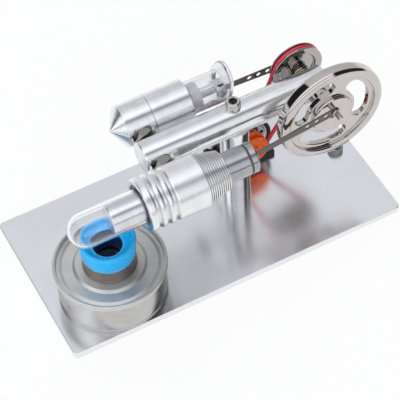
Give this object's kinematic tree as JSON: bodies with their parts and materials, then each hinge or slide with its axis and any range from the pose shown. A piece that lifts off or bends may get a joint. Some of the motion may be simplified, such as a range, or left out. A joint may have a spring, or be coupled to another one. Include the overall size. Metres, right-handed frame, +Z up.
{
  "type": "stirling engine",
  "caption": "Desk-top hot air engine with a glass hot cylinder, glass power cylinder, flywheel, belt-driven generator and spirit burner on a metal base plate.",
  "frame": {"origin": "middle of the base plate's underside", "axes": "+X along the plate from the hot glass end to the flywheel, +Y from the displacer side to the power cylinder side, +Z up"},
  "size_m": [0.151, 0.0757, 0.0772],
  "materials": {
    "polished_plate": "polished plate with soft reflections",
    "bright_aluminium": "bright turned aluminium",
    "turned_aluminium": "turned aluminium",
    "nickel_plate": "polished nickel plate",
    "screw_steel": "plated steel",
    "dark_steel": "dark plated steel",
    "ground_glass": "ground glass",
    "motor_steel": "plated motor can",
    "clear_glass": "clear glass",
    "black_rubber": "black rubber",
    "black_plastic": "black moulded plastic",
    "magnet_ferrite": "ferrite magnet",
    "copper_winding": "enamelled copper winding",
    "bush_brass": "brass",
    "orange_plastic": "orange moulded plastic",
    "red_belt": "red round belt",
    "lamp_clear": "clear lamp body",
    "can_tin": "tinned sheet",
    "neck_metal": "dull grey metal",
    "wick_cotton": "woven cotton wick",
    "blue_plastic": "sky blue moulded plastic"
  },
  "bodies": {
    "frame": {"base_plate": "polished_plate", "support_column": "turned_aluminium", "column_base_screw": "screw_steel", "beam_screw": "screw_steel", "main_beam": "bright_aluminium", "axle_bush_front": "bush_brass", "axle_bush_rear": "bush_brass", "cooler_body": "bright_aluminium", "hot_tube_seal": "black_rubber", "glass_hot_tube": "clear_glass", "guide_tube": "bright_aluminium", "guide_seal_ring": "black_rubber", "guide_cap": "bright_aluminium", "gland_bush": "bush_brass", "cross_tube": "screw_steel", "spacer_nut_front": "screw_steel", "spacer_nut_rear": "screw_steel", "cone_cap": "bright_aluminium", "cylinder_sleeve": "bright_aluminium", "glass_barrel": "clear_glass", "barrel_seal": "black_rubber", "motor_can": "motor_steel", "motor_end_cap": "black_plastic", "motor_magnets": "magnet_ferrite", "motor_bearing": "bush_brass", "motor_terminals": "bush_brass", "motor_holder": "black_plastic", "holder_screws": "screw_steel", "drive_belt": "red_belt", "lamp_socket": "black_plastic", "lamp": "lamp_clear"},
    "crank": {"crank_axle": "screw_steel", "flywheel": "nickel_plate", "flywheel_grub_screw": "dark_steel", "belt_wheel": "nickel_plate", "belt_wheel_grub_screw": "dark_steel", "front_crank_pin": "screw_steel", "rear_crank_pin": "screw_steel"},
    "generator": {"motor_shaft": "screw_steel", "motor_pulley": "orange_plastic", "motor_armature": "copper_winding"},
    "displacer": {"displacer_shell": "bright_aluminium", "displacer_plug": "bright_aluminium", "displacer_rod": "screw_steel", "displacer_clevis": "bright_aluminium", "displacer_wrist_pin": "screw_steel"},
    "displacer_link": {"displacer_conrod": "dark_steel", "displacer_rod_bush": "screw_steel"},
    "piston": {"power_piston": "ground_glass", "piston_lug": "screw_steel", "piston_wrist_screw": "screw_steel"},
    "power_link": {"power_conrod": "dark_steel", "power_rod_bush": "screw_steel"},
    "burner": {"fuel_can": "can_tin", "can_lid": "can_tin", "burner_neck": "neck_metal", "wick": "wick_cotton"},
    "cap": {"burner_cap": "blue_plastic"}
  },
  "joints": [
    {"name": "crank_spin", "type": "hinge", "parent": "frame", "child": "crank", "pos_m": [0.053, 0, 0.0542], "axis": [0, 1, 0], "continuous": true},
    {"name": "generator_spin", "type": "hinge", "parent": "frame", "child": "generator", "pos_m": [0.0323, 0, 0.01464], "axis": [0, 1, 0], "continuous": true},
    {"name": "displacer_slide", "type": "slide", "parent": "frame", "child": "displacer", "axis": [1, 0, 0], "range_m": [-0.00503, 0.00617]},
    {"name": "displacer_rod_swing", "type": "hinge", "parent": "displacer", "child": "displacer_link", "pos_m": [0.01463, -0.0209, 0.0542], "axis": [0, 1, 0], "range_deg": [-0.13, 16.91]},
    {"name": "piston_slide", "type": "slide", "parent": "frame", "child": "piston", "axis": [1, 0, 0], "range_m": [-0.0001, 0.0111]},
    {"name": "power_rod_swing", "type": "hinge", "parent": "piston", "child": "power_link", "pos_m": [0.0221, 0.0162, 0.0542], "axis": [0, 1, 0], "range_deg": [-14.93, 10.54]},
    {"name": "burner_slide", "type": "slide", "parent": "frame", "child": "burner", "axis": [0, 1, 0], "range_m": [0, 0.028]},
    {"name": "cap_lift", "type": "slide", "parent": "burner", "child": "cap", "axis": [0, 0, 1], "range_m": [0, 0.0095]}
  ],
  "couplings": [
    {"joint": "generator_spin", "follows": "crank_spin", "ratio": 1.7458}
  ]
}
